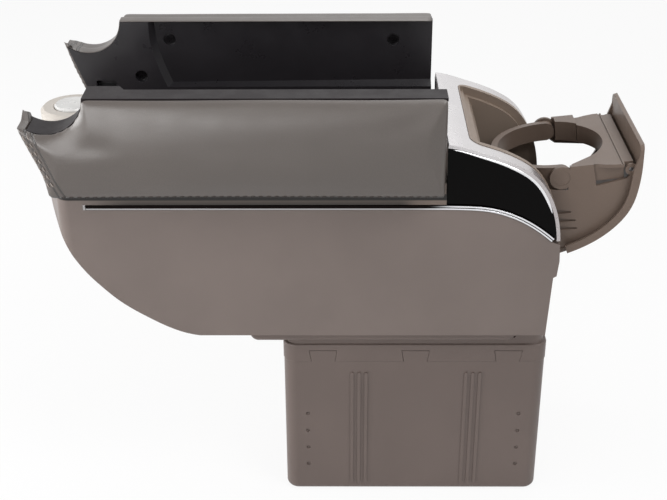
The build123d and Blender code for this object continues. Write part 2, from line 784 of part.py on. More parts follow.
# Recess of the cup holder, with the ledge that the door's rim closes on
frame_line = raised([(cover_edge + 0.1, 139.4)]) + crown[2:]
housing_top = shifted(frame_line, 0.4)
ledge = shifted(frame_line, -5.2)
pivot_radius = 2.5
lip_front = 33.6
with BuildPart() as cup_housing:
    with BuildSketch(Plane.XZ):
        with BuildLine():
            Spline(*housing_top)
            Polyline(
                housing_top[-1],
                *raised([
                    (94.2, 63), (94.2, 44.4), (26, 44.4), (26, 93.8), (33.7, 106.8), (36, 115.8),
                    (39.7, 124.3), (cover_edge + 0.1, 136),
                ]),
                housing_top[0],
            )
        make_face()
    extrude(amount=housing_half, both=True)
    with BuildSketch(Plane.XY.offset(floor + 125)):
        with Locations((cover_edge + 60.1, 0)):
            Rectangle(160, 160)
            RectangleRounded(120, 2 * housing_half, 8.8, mode=Mode.SUBTRACT)
    extrude(amount=40, mode=Mode.SUBTRACT)
    with BuildSketch(Plane.XZ):
        with BuildLine():
            Polyline(
                *raised([
                    (36.2, 160), (36.2, 138.4), (42.5, 124.5), (38.5, 115.5), (36.2, 106), (28.5, 93),
                    (28.5, 46.8), (120, 46.8), (120, 160),
                ]),
                close=True,
            )
        make_face()
    extrude(amount=recess_half, both=True, mode=Mode.SUBTRACT)
    with BuildSketch(Plane.XZ):
        with BuildLine():
            Spline(*ledge[1:])
            Polyline(
                ledge[-1],
                *raised([(89, 46.8), (120, 46.8), (120, 160), (36.2, 160), (36.2, 138.4)]),
                ledge[1],
            )
        make_face()
    extrude(amount=rebate_half, both=True, mode=Mode.SUBTRACT)
    with BuildSketch(Plane.XY.offset(floor + 135.6)):
        with Locations((lip_front - 0.5 + 30, 0)):
            RectangleRounded(60, 2 * rebate_half, 4.2)
    extrude(amount=30, mode=Mode.SUBTRACT)
    with BuildSketch(Plane.XZ):
        with Locations(pivot):
            Circle(pivot_radius + 0.01)
    extrude(amount=52.2, both=True, mode=Mode.SUBTRACT)
cup_housing.part.label = "cup_housing"
export_step(cup_housing.part, "parts/cup_housing.step")

with BuildPart() as door_pivots:
    with BuildSketch(Plane.XZ.offset(arm_in)):
        with Locations(pivot):
            Circle(pivot_radius)
    extrude(amount=10)
    mirror(about=Plane.XZ)
door_pivots.part.label = "door_pivots"
export_step(door_pivots.part, "parts/door_pivots.step")

# Cup door: quarter-round shell with side rims, drawn closed and turned open
door_line = raised([
    (37.0, 137.75), (50.2, 133.4), (63.4, 127.6), (70.4, 123.5), (77, 117.9), (84.2, 107.9), (89.8, 94.9),
    (92.4, 84), (93.6, 73.5), (94, 63), (94, 54),
])
lip_line = raised([(lip_front - 0.2, 138.95)]) + door_line
door_out = shifted(lip_line, 1.2)
lip_under = shifted(lip_line, -1.4)[0]
door_in = shifted(door_line, -1.4)
rim_in = shifted(door_line, -4.4)
narrow_z = floor + 72
with BuildPart() as door_shell:
    with BuildSketch(Plane.XZ):
        with BuildLine():
            Spline(*door_out)
            Line(door_out[-1], rim_in[-1])
            Spline(*rim_in[1:])
            Polyline(rim_in[1], *raised([(41, 134.9)]), door_in[0], lip_under, door_out[0])
        make_face()
    extrude(amount=door_half, both=True)
    with BuildSketch(Plane.XZ):
        with BuildLine():
            Spline(*door_in)
            Polyline(door_in[-1], (door_in[-1][0], floor), (0, floor), (0, door_in[0][1]), door_in[0])
        make_face()
    extrude(amount=door_half - 2.2, both=True, mode=Mode.SUBTRACT)
    with BuildSketch(Plane.XY.offset(narrow_z - 60)):
        with Locations((90, 0)):
            Rectangle(60, 2 * door_half + 10)
            Rectangle(60, 2 * recess_half - 1.8, mode=Mode.SUBTRACT)
    extrude(amount=60, mode=Mode.SUBTRACT)
    with BuildSketch(Plane.XY.offset(floor + 120)):
        with Locations((lip_front + 50, 0)):
            Rectangle(140, 2 * door_half + 10)
            RectangleRounded(100, 2 * door_half, 4, mode=Mode.SUBTRACT)
    extrude(amount=40, mode=Mode.SUBTRACT)

eye = (141.0, floor + 115.2)
eye_radius = 1.5
web = opened(shifted(door_line, -0.4))
strip = opened(shifted(door_line, -7))
hub = [(pivot[0] - 6, pivot[1] - 4), (pivot[0] - 7, pivot[1] + 4)]
ear_top = [on_ring(7.4, 1.2), on_ring(22.9, 1.2)]
wall_top = raised([(118.8, 103), (138.5, 108.6)])
with BuildPart() as cup_door:
    add(door_shell.part.rotate(Axis((pivot[0], 0, pivot[1]), (0, 1, 0)), door_angle))
    with BuildSketch(Plane.XZ.offset(arm_in)):
        with BuildLine():
            Spline(*web[1:10])
            Polyline(web[9], *hub, *raised([(88, 100), (100.3, 100)]), *ear_top, *wall_top, web[1])
        make_face()
        with Locations(pivot):
            Circle(7.5)
        with Locations(trunnion):
            Circle(trunnion_radius + 2.8)
        with Locations(eye):
            Circle(4)
        with Locations(trunnion):
            Circle(trunnion_radius + running, mode=Mode.SUBTRACT)
        with Locations(pivot):
            Circle(pivot_radius + running, mode=Mode.SUBTRACT)
        with Locations(eye):
            Circle(eye_radius + running, mode=Mode.SUBTRACT)
    extrude(amount=arm_out - arm_in)
    with BuildSketch(Plane.XZ.offset(-arm_out)):
        with BuildLine():
            Spline(*web[1:10])
            Polyline(web[9], *hub, strip[9], strip[8])
            Spline(*strip[8:2:-1])
            Polyline(strip[3], *raised([(104, 97.6), (100.3, 100)]), *ear_top, *wall_top, web[1])
        make_face()
        with Locations(pivot):
            Circle(7.5)
        with Locations(trunnion):
            Circle(trunnion_radius + 2.8)
        with Locations(eye):
            Circle(4)
        with Locations(trunnion):
            Circle(trunnion_radius + running, mode=Mode.SUBTRACT)
        with Locations(pivot):
            Circle(pivot_radius + running, mode=Mode.SUBTRACT)
        with Locations(eye):
            Circle(eye_radius + running, mode=Mode.SUBTRACT)
    extrude(amount=arm_out - arm_in)
    with BuildSketch(ring_plane.offset(-ring_depth)):
        with Locations((15.85, (26 + arm_in + 0.2) / 2)):
            Rectangle(14.1, arm_in + 0.2 - 26)
        with BuildLine():
            Polyline(
                (8.8, -arm_in - 0.2),
                (8.8, -arm_in + 1.6),
                (22.9, -cup_bore / 2 + 6),
                (22.9, -arm_in - 0.2),
                close=True,
            )
        make_face()
        Circle(cup_bore / 2, mode=Mode.SUBTRACT)
    extrude(amount=ring_depth + 1.2)
    with BuildSketch(Plane.XZ.offset(arm_out - 1.2)):
        for end, height in ((103.5, 83.6), (107, 77.4), (108.5, 71.4)):
            with BuildLine():
                Polyline(
                    *raised([(92, height - 1.9), (92, height + 1.9)]),
                    *raised([(end, height + 0.5), (end, height - 0.5)]),
                    close=True,
                )
            make_face()
    extrude(amount=3, mode=Mode.SUBTRACT)
cup_door.part.label = "cup_door"
export_step(cup_door.part, "parts/cup_door.step")

# Outer half of the cup ring, pinned in the eyes of the door
skirt_deep = 12.0
with BuildPart() as ring_plate:
    with BuildSketch(ring_plane.offset(-2.4)):
        with BuildLine():
            Polyline(
                (23.2, 41.2), (26, 41.4), (31, 43.4), (37, 44.9), (43.2, 45.2), (43.2, 41.4), (49.5, 41.4),
                (49.5, -41.4), (43.2, -41.4), (43.2, -45.2), (37, -44.9), (31, -43.4), (26, -41.4),
                (23.2, -41.2),
                close=True,
            )
        make_face()
    extrude(amount=2.4)
    with BuildSketch(ring_plane.offset(-ring_depth)):
        Circle(cup_bore / 2 + 3)
        with Locations((23.2 - 50, 0)):
            Rectangle(100, 120, mode=Mode.SUBTRACT)
    extrude(amount=ring_depth - 1)
    with BuildSketch(ring_plane.offset(-skirt_deep)):
        for side in (-1, 1):
            with Locations((33.2, side * 40.6)):
                Rectangle(20, 1.6)
    extrude(amount=skirt_deep - 1)
    with BuildSketch(Plane.XZ.offset(-41.4)):
        with Locations(eye):
            Circle(2.9)
    extrude(amount=82.8)
    with BuildSketch(ring_plane.offset(-ring_depth - 1)):
        Circle(cup_bore / 2)
    extrude(amount=ring_depth + 5, mode=Mode.SUBTRACT)
    with BuildSketch(ring_plane.offset(-0.7)):
        with Locations((41.6, 0)):
            Rectangle(1.2, 100)
    extrude(amount=2, mode=Mode.SUBTRACT)
    with BuildSketch(Plane.XZ):
        with Locations(eye):
            Circle(eye_radius + 0.01)
    extrude(amount=60, both=True, mode=Mode.SUBTRACT)
ring_plate.part.label = "ring_plate"
export_step(ring_plate.part, "parts/ring_plate.step")

with BuildPart() as ring_pins:
    with BuildSketch(Plane.XZ.offset(36)):
        with Locations(eye):
            Circle(eye_radius)
    extrude(amount=7.4)
    mirror(about=Plane.XZ)
ring_pins.part.label = "ring_pins"
export_step(ring_pins.part, "parts/ring_pins.step")

# Inner half of the cup ring, hung on trunnions in the door's side walls
with BuildPart() as inner_ring:
    with BuildSketch(ring_plane.offset(-ring_depth)):
        Circle(ring_out)
        with Locations((50, 0)):
            Rectangle(100, 120, mode=Mode.SUBTRACT)
        with Locations((0.9, 0)):
            Rectangle(1.8, 2 * ring_out)
        Circle(cup_bore / 2, mode=Mode.SUBTRACT)
        with Locations((10, 0)):
            Rectangle(20, cup_bore, mode=Mode.SUBTRACT)
    extrude(amount=ring_depth)
    with BuildSketch(Plane.XZ.offset(-arm_in + gap)):
        with Locations(trunnion):
            Circle(ring_depth / 2)
    extrude(amount=2 * arm_in - 2 * gap)
    with BuildSketch(Plane.XZ.offset(-arm_out + 0.2)):
        with Locations(trunnion):
            Circle(trunnion_radius)
    extrude(amount=2 * arm_out - 0.4)
    with BuildSketch(ring_plane.offset(-ring_depth - 3)):
        Circle(cup_bore / 2, mode=Mode.ADD)
        with Locations((10, 0)):
            Rectangle(20, cup_bore)
    extrude(amount=ring_depth + 6, mode=Mode.SUBTRACT)
inner_ring.part.label = "inner_ring"
export_step(inner_ring.part, "parts/inner_ring.step")
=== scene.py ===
"""Looks of the car centre armrest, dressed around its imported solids."""
import math

import bmesh
import bpy
from mathutils import Matrix, Vector
from mathutils.bvhtree import BVHTree


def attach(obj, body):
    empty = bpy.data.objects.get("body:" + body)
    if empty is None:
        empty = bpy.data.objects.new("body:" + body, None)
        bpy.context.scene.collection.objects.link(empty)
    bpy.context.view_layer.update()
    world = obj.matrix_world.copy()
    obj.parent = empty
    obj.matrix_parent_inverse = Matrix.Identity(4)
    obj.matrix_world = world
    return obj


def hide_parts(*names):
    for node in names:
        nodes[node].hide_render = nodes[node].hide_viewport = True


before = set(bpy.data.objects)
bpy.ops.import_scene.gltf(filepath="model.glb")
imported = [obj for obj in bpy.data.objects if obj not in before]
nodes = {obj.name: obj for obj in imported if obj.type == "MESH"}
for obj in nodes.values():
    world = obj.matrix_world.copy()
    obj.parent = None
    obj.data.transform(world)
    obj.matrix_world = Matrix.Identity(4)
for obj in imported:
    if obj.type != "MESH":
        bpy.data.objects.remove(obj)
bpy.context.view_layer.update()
scene = bpy.context.scene
scene.view_settings.view_transform = "Standard"

MM = 0.001
LENGTHWISE = (1, 0, 0)
SIDEWAYS = (0, 1, 0)
UPWARDS = (0, 0, 1)

# Camera of the photograph
CAMERA_PLACE = Vector((-49.91, -810.2, 602.99)) * MM
CAMERA_PITCH = math.radians(27.95)
CAMERA_YAW = math.radians(-0.56)
CAMERA_ROLL = math.radians(-0.3)
CAMERA_LENS = 67.95
CAMERA_SENSOR = 36

# Floor, world and lamps; a lamp has its place in metres, its width, its height and its power in watts
FLOOR_SIZE = 8
FLOOR_DROP = 0.3 * MM
FLOOR_GLOW = 0.9
WORLD_LIGHT = 0.25
LAMP_AIM = Vector((-0.06, 0, 0.18))
LAMPS = {
    "key": ((-0.6, -1.45, 0.45), 0.7, 0.6, 6.2),
    "side": ((-0.5, -0.42, 0.42), 0.3, 0.3, 0.75),
    "top": ((0.25, -0.1, 1.4), 0.8, 0.8, 3.5),
    "left": ((-1.3, -0.05, 0.45), 0.9, 0.6, 12),
    "right": ((0.6, -0.6, 1.2), 0.6, 0.6, 7),
    "back": ((0.2, 1.2, 1.5), 0.8, 0.8, 5),
}

# Places of the lids, as in the solids; an open lid stands up from its hinge
HINGE_Y = 64.6 * MM
HINGE_Z = 260.6 * MM
LID_FRONT = -233.7 * MM
LID_REAR = 14.0 * MM
LID_SPAN = 63.4 * MM
LID_SLOPE = 0.3835
LID_STEEP = math.hypot(1, LID_SLOPE)
FRONT_INWARD = Vector((1 / LID_STEEP, 0, LID_SLOPE / LID_STEEP))
BUTTON_X = -236.0 * MM
BUTTON_UP = HINGE_Y
NOTCH_RADIUS = 24.6 * MM

# Leather cover: its soft part, its crown with the reach from each edge, its hem, and the band of painted
# shadow at the foot of the hem
VOXEL = 1.5 * MM
SOFT_FROM = 10.5 * MM
SOFT_RISE = 10 * MM
SOFT_ROUNDS = 3
CROWN = 4.2 * MM
CROWN_REACH = (28 * MM, 30 * MM, 14 * MM, 16 * MM, 14 * MM)
HEM_DROP = 4.0 * MM
HEM_REACH = 16 * MM
HEM_PAINTED_SHADOW = (-2.1 * MM, -1.5 * MM)

# Front edge of the cover, rolled forward and pulled over the liner at its foot
FRONT_ROLL = 3.0 * MM
FRONT_REACH = 6 * MM
FOOT_TOP = 8 * MM
FOOT_FADE = 4 * MM
FOOT_PULL = 3.2 * MM
TIP_RAISE = 4 * MM
TIP_FROM = 30 * MM
TIP_REACH = 11 * MM

# Rolled rim of the near cover, along its free edge and notch
RIM_FROM = 20.5 * MM
RIM_REACH = 3 * MM
RIM_ROLL = 0.8 * MM
RIM_SWELL = 0.5 * MM

# Foam under the cover
HELD_BELOW = 15 * MM
HELD_FADE = 4 * MM
SWELL_STEPS = 20
SWELL_MOST = 2.4 * MM
SWELL_ROUNDS = 14

# Seams: insets from the front edge, height of the hem's row, and the threads
SEAM_INSETS = (2.0 * MM, 5.4 * MM)
SEAM_LOW = 4 * MM
SEAM_HIGH = 41 * MM
SEAM_OUT = 20 * MM
HEM_ROW = 0.7 * MM
HEM_FRONT_INSET = 3 * MM
HEM_REAR_INSET = 4 * MM
STITCH_PITCH = 5 * MM
STITCH_RADIUS = 0.42 * MM
STITCH_RINGS = 7
STITCH_SIDES = 8
STITCH_SIGHT = 30 * MM

# Leather flap over the far liner's free edge
FLAP_LIFT = 0.3 * MM
FLAP_INSET = 0.5 * MM
FLAP_STEP = 4 * MM
FLAP_STRAIGHT = 53
FLAP_BEND = 30
FLAP_MIDDLE = 6.2 * MM
FLAP_HALF_WIDTH = 5.4 * MM
FLAP_HALF_THICKNESS = 0.55 * MM
FLAP_SIDES = 16

# Bright bead on the upper edge of each fin
BEAD_FRONT = 20 * MM
BEAD_STEP = 1.75 * MM
BEAD_TOP_POINTS = 30
BEAD_DROP = 1.5 * MM
BEAD_REAR_POINTS = 18
BEAD_INSET = 0.3 * MM
BEAD_THIN = 0.3 * MM
BEAD_SWELL = 0.75 * MM
BEAD_SIDES = 10
ABOVE_FIN = 330 * MM
BEHIND_FIN = 200 * MM

# Bands of painted shade on the body's side, under the lid's overhang and in a shadow line right under the
# lid: from and to
RAIL_FOOT = (240.2 * MM, 240.8 * MM)
RAIL_RISE = (241 * MM, 247 * MM)
RAIL_FRONT = (-226 * MM, -190 * MM)
RAIL_END = (-14 * MM, 0.0)
LID_SHADOW_LINE = (245.2 * MM, 246 * MM)

# Bands of painted reflection on the bright strip, and of painted shade on the silver cover and the recess:
# from and to
STRIP_CHANNEL = (67.75 * MM, 67.95 * MM)
STRIP_UPPER = (239.9 * MM, 240.3 * MM)
STRIP_FRONT = (-220.6 * MM, -219.8 * MM)
STRIP_TURN = (5 * MM, 25 * MM)
STRIP_REFLECTION_FADE = (-10 * MM, 25 * MM)
SILVER_TURN = (40 * MM, 85 * MM)
RECESS_DEPTH = (205 * MM, 248 * MM)

# Middle values of a noise, and the solids' meshes: sharp edges, flat faces and points that are one
NOISE_SPAN = (0.3, 0.7)
SHARP = math.radians(38)
FLAT = math.radians(0.05)
WELD = 0.002 * MM


def tone(red, green, blue):
    """A colour read as screen values, given to the shader as light."""
    def light(c):
        c /= 255
        return c / 12.92 if c <= 0.04045 else ((c + 0.055) / 1.055) ** 2.4

    return (light(red), light(green), light(blue))


def scaled(colour, share):
    return tuple(c * share for c in colour)


LEATHER = tone(76, 68, 63)
# Painted shade on the body's side under the lid's overhang: deepest, softer, and lighter at the rear end
RAIL_SHADOW_DEEP = tone(40, 34, 30)
RAIL_SHADOW_SOFT = tone(82, 73, 66)
RAIL_SHADE_LIT_REAR = tone(108, 95, 87)
# Painted shadow line right under the lid
LID_SHADOW_BLACK = tone(16, 12, 10)
STRIP_BRIGHT = tone(226, 226, 229)
# Painted reflection colours of the bright strip: dimmed, and dark
STRIP_DIM_REFLECTION = tone(120, 114, 112)
STRIP_DARK_REFLECTION = tone(24, 20, 19)
FLOOR_GREYS = ((0.86, 0.86, 0.86), (0.9, 0.9, 0.9))

# Look and edge rounding in mm of each rigid solid
FINISH = {
    "body_shell": ("taupe", 0.5),
    "base_box": ("base", 0.5),
    "base_collar": ("base", 0.4),
    "foot_plate": ("base", 0.4),
    "top_frame": ("frame", 0.3),
    "lid_liner_near": ("edge", 0.35),
    "lid_liner_far": ("dark", 0.35),
    "side_chrome_near": ("chrome", 0.15),
    "side_chrome_far": ("chrome", 0.15),
    "side_trim_near": ("black", 0.0),
    "side_trim_far": ("black", 0.0),
    "rear_cover": ("silver", 0.3),
    "cup_housing": ("housing", 0.4),
    "cup_door": ("cup", 0.35),
    "ring_plate": ("cup", 0.3),
    "inner_ring": ("cup", 0.3),
    "button_bezel": ("post", 0.0),
    "button_cap": ("button", 0.0),
    "door_pivots": ("steel", 0.0),
    "ring_pins": ("steel", 0.0),
    "hinge_rod_near": ("steel", 0.0),
    "hinge_rod_far": ("steel", 0.0),
    "button_spring": ("steel", 0.0),
    "plate_screws": ("steel", 0.0),
    "liner_screws_near": ("screw", 0.0),
    "liner_screws_far": ("screw", 0.0),
}


def make_camera():
    """The photograph's camera: where it stands, how it is turned and its lens."""
    level = math.cos(CAMERA_PITCH)
    forward = Vector((math.sin(CAMERA_YAW) * level, math.cos(CAMERA_YAW) * level, -math.sin(CAMERA_PITCH)))
    right = Vector((math.cos(CAMERA_YAW), -math.sin(CAMERA_YAW), 0))
    up = right.cross(forward)
    turned = right * math.cos(CAMERA_ROLL) + up * math.sin(CAMERA_ROLL)
    upright = up * math.cos(CAMERA_ROLL) - right * math.sin(CAMERA_ROLL)
    data = bpy.data.cameras.new("camera")
    data.sensor_width = CAMERA_SENSOR
    data.lens = CAMERA_LENS
    camera = bpy.data.objects.new("camera", data)
    place = Matrix((turned, upright, -forward)).transposed().to_4x4()
    place.translation = CAMERA_PLACE
    camera.matrix_world = place
    scene.collection.objects.link(camera)
    scene.camera = camera


# Materials
class Tree:
    """Short hand for the node tree of one material."""

    def __init__(self, name):
        self.material = bpy.data.materials.new(name)
        self.material.use_nodes = True
        self.nodes = self.material.node_tree.nodes
        self.links = self.material.node_tree.links
        self.shader = self.nodes["Principled BSDF"]
        self.place = self.nodes.new("ShaderNodeTexCoord").outputs["Object"]

    def link(self, source, target):
        self.links.new(source, target)

    def set(self, **values):
        """Constant values of the shader's sockets."""
        for name, value in values.items():
            self.shader.inputs[name.replace("_", " ")].default_value = value

    def feed(self, name, source):
        """Links a source to one of the shader's sockets."""
        self.link(source, self.shader.inputs[name])

    def fed(self, name):
        """The source that one of the shader's sockets has now."""
        return self.shader.inputs[name].links[0].from_socket

    def noise(self, scale, detail=3.0, rough=0.5, vector=None):
        node = self.nodes.new("ShaderNodeTexNoise")
        node.inputs["Scale"].default_value = scale
        node.inputs["Detail"].default_value = detail
        node.inputs["Roughness"].default_value = rough
        self.link(vector or self.place, node.inputs["Vector"])
        return node.outputs["Fac"]

    def cells(self, scale):
        node = self.nodes.new("ShaderNodeTexVoronoi")
        node.feature = "DISTANCE_TO_EDGE"
        node.inputs["Scale"].default_value = scale
        self.link(self.place, node.inputs["Vector"])
        return node.outputs["Distance"]

    def ramp(self, value, low, high, out_low=0.0, out_high=1.0):
        node = self.nodes.new("ShaderNodeMapRange")
        node.interpolation_type = "SMOOTHSTEP"
        node.inputs["From Min"].default_value = low
        node.inputs["From Max"].default_value = high
        node.inputs["To Min"].default_value = out_low
        node.inputs["To Max"].default_value = out_high
        self.link(value, node.inputs["Value"])
        return node.outputs["Result"]

    def math(self, kind, a, b=None):
        node = self.nodes.new("ShaderNodeMath")
        node.operation = kind
        for socket, value in zip(node.inputs, (a, b)):
            if value is None:
                continue
            if isinstance(value, (int, float)):
                socket.default_value = value
            else:
                self.link(value, socket)
        return node.outputs[0]

    def mix(self, factor, a, b):
        node = self.nodes.new("ShaderNodeMix")
        node.data_type = "RGBA"
        self.link(factor, node.inputs[0])
        for socket, value in ((node.inputs[6], a), (node.inputs[7], b)):
            if isinstance(value, tuple):
                socket.default_value = (*value, 1)
            else:
                self.link(value, socket)
        return node.outputs[2]

    def along(self, direction, offset=0.0):
        """Signed distance of a point from a plane through the part."""
        node = self.nodes.new("ShaderNodeVectorMath")
        node.operation = "DOT_PRODUCT"
        node.inputs[1].default_value = direction
        self.link(self.place, node.inputs[0])
        return self.math("SUBTRACT", node.outputs["Value"], offset)

    def bump(self, height, distance, strength=1.0, normal=None):
        node = self.nodes.new("ShaderNodeBump")
        node.inputs["Strength"].default_value = strength
        node.inputs["Distance"].default_value = distance
        self.link(height, node.inputs["Height"])
        if normal is not None:
            self.link(normal, node.inputs["Normal"])
        return node.outputs["Normal"]


def moulded(name, colour, rough, grain=0.05, grain_size=0.5, spread=0.06, metallic=0.0, coat=0.0, spec=0.5):
    """Moulded or painted surface: broad shade changes, fine grain and uneven gloss."""
    t = Tree(name)
    broad = t.noise(14, 3)
    fine = t.noise(1000 / grain_size, 2)
    handled = t.noise(55, 5, 0.65)
    shade = t.mix(t.ramp(broad, *NOISE_SPAN), scaled(colour, 1 - spread), scaled(colour, 1 + spread))
    specks = t.ramp(fine, 0.35, 0.75, 0.0, 0.5)
    t.feed("Base Color", t.mix(specks, shade, scaled(colour, 1 + 2 * spread)))
    t.feed("Roughness", t.ramp(handled, *NOISE_SPAN, rough * 0.9, rough * 1.12))
    if grain:
        t.feed("Normal", t.bump(fine, grain * MM))
    t.set(Metallic=metallic, Coat_Weight=coat, Coat_Roughness=0.08, Specular_IOR_Level=spec)
    return t


def brushed(name, colour, rough):
    """Turned or drawn metal with fine lines."""
    t = Tree(name)
    stretch = t.nodes.new("ShaderNodeMapping")
    stretch.inputs["Scale"].default_value = (0.06, 1, 1)
    t.link(t.place, stretch.inputs["Vector"])
    lines = t.noise(2600, 3, 0.6, stretch.outputs["Vector"])
    t.feed("Base Color", t.mix(lines, scaled(colour, 0.8), scaled(colour, 1.1)))
    t.feed("Roughness", t.ramp(lines, *NOISE_SPAN, rough * 0.8, rough * 1.25))
    t.feed("Normal", t.bump(lines, 0.01 * MM))
    t.set(Metallic=1.0)
    return t


def grained_leather(name, colour):
    """Soft cover: pebbled grain, faint creases, rubbed shine, pressed seam lines and painted shadow at the
    foot of its hem.
    """
    t = Tree(name)
    skin = t.ramp(t.cells(820), 0.0, 0.28)
    pores = t.noise(2400, 2)
    crease = t.noise(42, 4, 0.6)
    broad = t.noise(16, 3)
    edge = -(LID_FRONT + LID_SLOPE * HINGE_Z) / LID_STEEP
    lines = []
    for inset in SEAM_INSETS:
        away = t.math("ABSOLUTE", t.along(-FRONT_INWARD, edge - inset))
        lines.append(t.ramp(away, 0.25 * MM, 1.0 * MM, 1.0, 0.0))
    pressed = t.math("MAXIMUM", *lines)
    shade = t.mix(t.ramp(broad, *NOISE_SPAN), scaled(colour, 0.95), scaled(colour, 1.05))
    shade = t.mix(skin, scaled(colour, 0.9), shade)
    # Painted shadow: the lowest part of the hem, below the hinge, is darkened where the lid's edge shades it
    hem = t.ramp(t.along(UPWARDS, HINGE_Z), *HEM_PAINTED_SHADOW)
    shade = t.mix(hem, scaled(colour, 0.12), shade)
    t.feed("Base Color", t.mix(pressed, shade, scaled(colour, 0.4)))
    t.feed("Roughness", t.ramp(crease, *NOISE_SPAN, 0.34, 0.42))
    normal = t.bump(crease, 0.4 * MM, 0.4)
    normal = t.bump(skin, 0.02 * MM, 0.6, normal)
    normal = t.bump(pores, 0.004 * MM, 1.0, normal)
    normal = t.bump(t.math("SUBTRACT", 1.0, pressed), 0.5 * MM, 1.0, normal)
    t.feed("Normal", normal)
    t.set(Specular_IOR_Level=0.85)
    return t


def thread_yarn(name, colour):
    """Twisted sewing thread."""
    t = Tree(name)
    wave = t.nodes.new("ShaderNodeTexWave")
    wave.inputs["Scale"].default_value = 900
    wave.inputs["Distortion"].default_value = 1.5
    wave.bands_direction = "DIAGONAL"
    t.link(t.place, wave.inputs["Vector"])
    twist = wave.outputs["Fac"]
    t.feed("Base Color", t.mix(twist, scaled(colour, 0.65), scaled(colour, 1.15)))
    t.feed("Normal", t.bump(twist, 0.08 * MM))
    t.set(Roughness=0.6)
    return t


def body_with_painted_shade(name, colour):
    """Body plastic with painted shade on the band above the side groove, under the lid's overhang, and a
    painted shadow line right under the lid.
    """
    t = moulded(name, colour, 0.34, spec=0.4)
    plain = t.fed("Base Color")
    height = t.along(UPWARDS)
    length = t.along(LENGTHWISE)
    # Painted shade on the band above the side groove, under the lid's overhang: darkest just above the
    # groove, paler higher up, and lighter towards the rear end where more light reaches
    rail_shade = t.mix(t.ramp(height, *RAIL_RISE), RAIL_SHADOW_DEEP, RAIL_SHADOW_SOFT)
    rail_shade = t.mix(t.ramp(length, *RAIL_END), rail_shade, RAIL_SHADE_LIT_REAR)
    rail_shade_area = t.math("MULTIPLY", t.ramp(height, *RAIL_FOOT), t.ramp(length, *RAIL_FRONT))
    shade = t.mix(rail_shade_area, plain, rail_shade)
    # Painted shadow: a dark line along the top of the body's side, right under the lid's edge
    t.feed("Base Color", t.mix(t.ramp(height, *LID_SHADOW_LINE), shade, LID_SHADOW_BLACK))
    return t


def ridged_strip(name):
    """Bright strip: two polished ridges, with painted dark reflection in the channel between them and on the
    upper one along the side, and painted dimmer reflection towards the front.
    """
    t = moulded(name, STRIP_BRIGHT, 0.14, 0.0, 2.0, 0.02, 1.0)
    bright = t.fed("Base Color")
    length = t.along(LENGTHWISE)
    out = t.math("ABSOLUTE", t.along(SIDEWAYS))
    # Painted dark reflection in the channel between the ridges, and on the upper ridge along the side
    channel = t.ramp(out, *STRIP_CHANNEL, 1.0, 0.0)
    upper = t.ramp(t.along(UPWARDS), *STRIP_UPPER)
    side = t.ramp(length, *STRIP_TURN, 1.0, 0.0)
    dark = t.math("MAXIMUM", channel, t.math("MULTIPLY", upper, side))
    dark = t.math("MULTIPLY", dark, t.ramp(length, *STRIP_FRONT))
    # Painted reflection: the bright metal is dimmer along the side and brightest where the strip turns at the
    # rear
    dim_reflection = t.mix(t.ramp(length, *STRIP_REFLECTION_FADE, 0.65, 0.0), bright, STRIP_DIM_REFLECTION)
    t.feed("Base Color", t.mix(dark, dim_reflection, STRIP_DARK_REFLECTION))
    return t


def silver_with_painted_shade(name, colour, rear):
    """Silver paint, with painted shade where it turns down at the rear."""
    t = moulded(name, colour, 0.26, 0.0, 0.8, 0.01, 0.6, 0.2)
    # Painted shade where the cover turns down at the rear
    turn = t.ramp(t.along(LENGTHWISE), *SILVER_TURN)
    t.feed("Base Color", t.mix(turn, t.fed("Base Color"), rear))
    return t


def recess_with_painted_shade(name, colour, bottom_shade):
    """Moulded recess with painted shade that deepens towards its bottom."""
    t = moulded(name, colour, 0.42, spec=0.3)
    # Painted shade that deepens towards the bottom of the recess
    rise = t.ramp(t.along(UPWARDS), *RECESS_DEPTH)
    t.feed("Base Color", t.mix(rise, bottom_shade, t.fed("Base Color")))
    return t


def make_materials():
    """All looks except the leather, by the names that the solids' finishes use."""
    trees = {
        "taupe": body_with_painted_shade("taupe_plastic", tone(109, 98, 93)),
        "base": moulded("base_plastic", tone(98, 86, 81), 0.4, grain=0.06, spec=0.4),
        "frame": moulded("frame_plastic", tone(88, 78, 72), 0.4, spec=0.3),
        "dark": moulded("dark_plastic", tone(34, 32, 35), 0.3, grain=0.05, spec=0.45),
        "edge": moulded("edge_plastic", tone(29, 24, 26), 0.48, grain=0.05, spec=0.15),
        # The second colour is painted shade where the cover turns down at the rear
        "silver": silver_with_painted_shade("silver_paint", tone(208, 205, 206), tone(176, 170, 170)),
        "black": moulded("piano_black", tone(4, 3, 3), 0.07, 0.0, 2.0, 0.1, spec=0.07),
        "chrome": ridged_strip("bright_chrome"),
        "bead": moulded("bead_chrome", tone(232, 232, 234), 0.12, 0.0, 2.0, 0.02, 1.0),
        "cup": moulded("cup_plastic", tone(107, 92, 82), 0.4, spec=0.35),
        # The second colour is painted shade at the bottom of the recess
        "housing": recess_with_painted_shade("housing_plastic", tone(140, 125, 113), tone(28, 22, 17)),
        "post": moulded("post_plastic", tone(192, 185, 177), 0.36),
        "button": moulded("button_paint", tone(212, 211, 209), 0.28, 0.0, 0.4, 0.02, 0.15, 0.2),
        "steel": brushed("steel", tone(176, 176, 178), 0.28),
        "screw": brushed("black_screw", tone(40, 38, 40), 0.35),
        "thread": thread_yarn("thread", tone(150, 140, 133)),
        "thread_dark": thread_yarn("thread_dark", tone(48, 41, 38)),
    }
    return {look: tree.material for look, tree in trees.items()}


